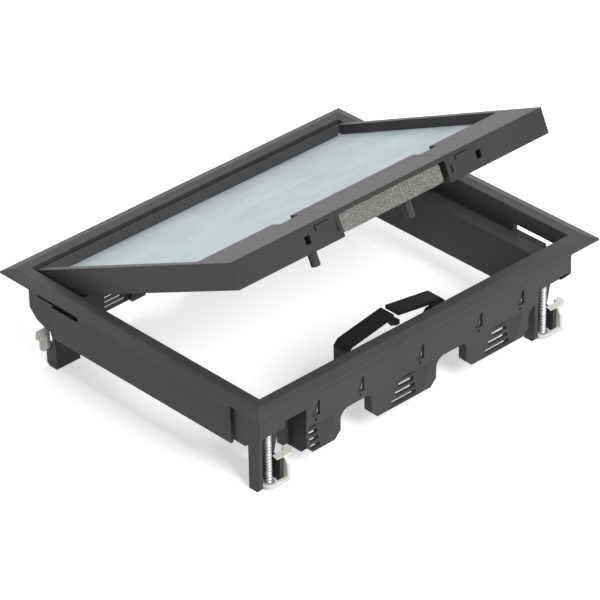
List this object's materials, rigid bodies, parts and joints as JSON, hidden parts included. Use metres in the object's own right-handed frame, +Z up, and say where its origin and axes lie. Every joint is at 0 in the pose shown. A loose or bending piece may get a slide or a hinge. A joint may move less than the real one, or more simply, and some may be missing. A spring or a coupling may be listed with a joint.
{
  "type": "floor service outlet",
  "caption": "Floor service outlet: bevelled flange and deep frame with a hinged carpet-recess lid, cable outlet, cable bracket and corner claw clamps.",
  "frame": {"origin": "middle of the lid opening, level with the flange's outer top edge", "axes": "+X along the long side, +Y towards the lid hinge, +Z up out of the floor"},
  "size_m": [0.252, 0.204, 0.1336],
  "materials": {
    "frame": "satin moulded, iron grey",
    "lid": "satin moulded, iron grey",
    "strap": "black moulded",
    "claw": "natural nylon",
    "steel": "zinc plated",
    "steel_sheet": "galvanised, brushed",
    "foam": "open-cell foam, speckled"
  },
  "bodies": {
    "housing": {"flange_ring": "frame", "front_carrier": "frame", "back_carrier": "frame", "left_end_wall": "frame", "right_end_wall": "frame", "cable_bracket": "strap", "gate_lug": "strap", "gate_pin": "steel"},
    "lid": {"lid_frame": "lid", "lid_plate": "steel_sheet", "outlet_insert": "lid", "foam_strip": "foam", "left_peg": "lid", "right_peg": "lid", "left_hinge_pin": "steel", "right_hinge_pin": "steel"},
    "left_latch": {"left_latch": "lid"},
    "right_latch": {"right_latch": "lid"},
    "cable_gate": {"cable_gate": "strap"},
    "front_right_screw": {"front_right_screw": "steel"},
    "front_right_bush": {"front_right_bush": "steel"},
    "front_right_claw": {"front_right_claw": "claw"},
    "front_left_screw": {"front_left_screw": "steel"},
    "front_left_bush": {"front_left_bush": "steel"},
    "front_left_claw": {"front_left_claw": "claw"},
    "back_left_screw": {"back_left_screw": "steel"},
    "back_left_bush": {"back_left_bush": "steel"},
    "back_left_claw": {"back_left_claw": "claw"},
    "back_right_screw": {"back_right_screw": "steel"},
    "back_right_bush": {"back_right_bush": "steel"},
    "back_right_claw": {"back_right_claw": "claw"}
  },
  "joints": [
    {"name": "lid_hinge", "type": "hinge", "parent": "housing", "child": "lid", "pos_m": [0, 0.0841, -0.0035], "axis": [-1, 0, 0], "range_deg": [-24.9, 65.1]},
    {"name": "left_latch_slide", "type": "slide", "parent": "lid", "child": "left_latch", "axis": [0, 0.907, -0.421], "range_m": [0, 0.0026], "stiffness_N_per_m": 200, "springref_m": -0.001},
    {"name": "right_latch_slide", "type": "slide", "parent": "lid", "child": "right_latch", "axis": [0, 0.907, -0.421], "range_m": [0, 0.0026], "stiffness_N_per_m": 200, "springref_m": -0.001},
    {"name": "cable_gate_hinge", "type": "hinge", "parent": "housing", "child": "cable_gate", "pos_m": [0.0331, -0.068, -0.023], "axis": [0, 1, 0], "range_deg": [0, 90]},
    {"name": "front_right_screw_turn", "type": "hinge", "parent": "housing", "child": "front_right_screw", "pos_m": [0.1013, -0.084, -0.04], "axis": [0, 0, -1], "range_deg": [0, 2273.7]},
    {"name": "front_right_claw_climb", "type": "slide", "parent": "housing", "child": "front_right_bush", "axis": [0, 0, 1], "range_m": [0, 0.012]},
    {"name": "front_right_claw_swing", "type": "hinge", "parent": "front_right_bush", "child": "front_right_claw", "pos_m": [0.1013, -0.084, -0.058], "axis": [0, 0, -1], "range_deg": [0, 90]},
    {"name": "front_left_screw_turn", "type": "hinge", "parent": "housing", "child": "front_left_screw", "pos_m": [-0.1037, -0.084, -0.04], "axis": [0, 0, -1], "range_deg": [0, 2273.7]},
    {"name": "front_left_claw_climb", "type": "slide", "parent": "housing", "child": "front_left_bush", "axis": [0, 0, 1], "range_m": [0, 0.012]},
    {"name": "front_left_claw_swing", "type": "hinge", "parent": "front_left_bush", "child": "front_left_claw", "pos_m": [-0.1037, -0.084, -0.058], "axis": [0, 0, -1], "range_deg": [0, 90]},
    {"name": "back_left_screw_turn", "type": "hinge", "parent": "housing", "child": "back_left_screw", "pos_m": [-0.1013, 0.084, -0.04], "axis": [0, 0, -1], "range_deg": [-1705.3, 568.5]},
    {"name": "back_left_claw_climb", "type": "slide", "parent": "housing", "child": "back_left_bush", "axis": [0, 0, 1], "range_m": [-0.009, 0.003]},
    {"name": "back_left_claw_swing", "type": "hinge", "parent": "back_left_bush", "child": "back_left_claw", "pos_m": [-0.1013, 0.084, -0.049], "axis": [0, 0, -1], "range_deg": [0, 90]},
    {"name": "back_right_screw_turn", "type": "hinge", "parent": "housing", "child": "back_right_screw", "pos_m": [0.1037, 0.084, -0.04], "axis": [0, 0, -1], "range_deg": [0, 2273.7]},
    {"name": "back_right_claw_climb", "type": "slide", "parent": "housing", "child": "back_right_bush", "axis": [0, 0, 1], "range_m": [0, 0.012]},
    {"name": "back_right_claw_swing", "type": "hinge", "parent": "back_right_bush", "child": "back_right_claw", "pos_m": [0.1037, 0.084, -0.058], "axis": [0, 0, -1], "range_deg": [0, 90]}
  ],
  "couplings": [
    {"joint": "front_right_screw_turn", "follows": "front_right_claw_climb", "rad_per_m": 3306.9},
    {"joint": "front_left_screw_turn", "follows": "front_left_claw_climb", "rad_per_m": 3306.9},
    {"joint": "back_left_screw_turn", "follows": "back_left_claw_climb", "rad_per_m": 3306.9},
    {"joint": "back_right_screw_turn", "follows": "back_right_claw_climb", "rad_per_m": 3306.9}
  ]
}
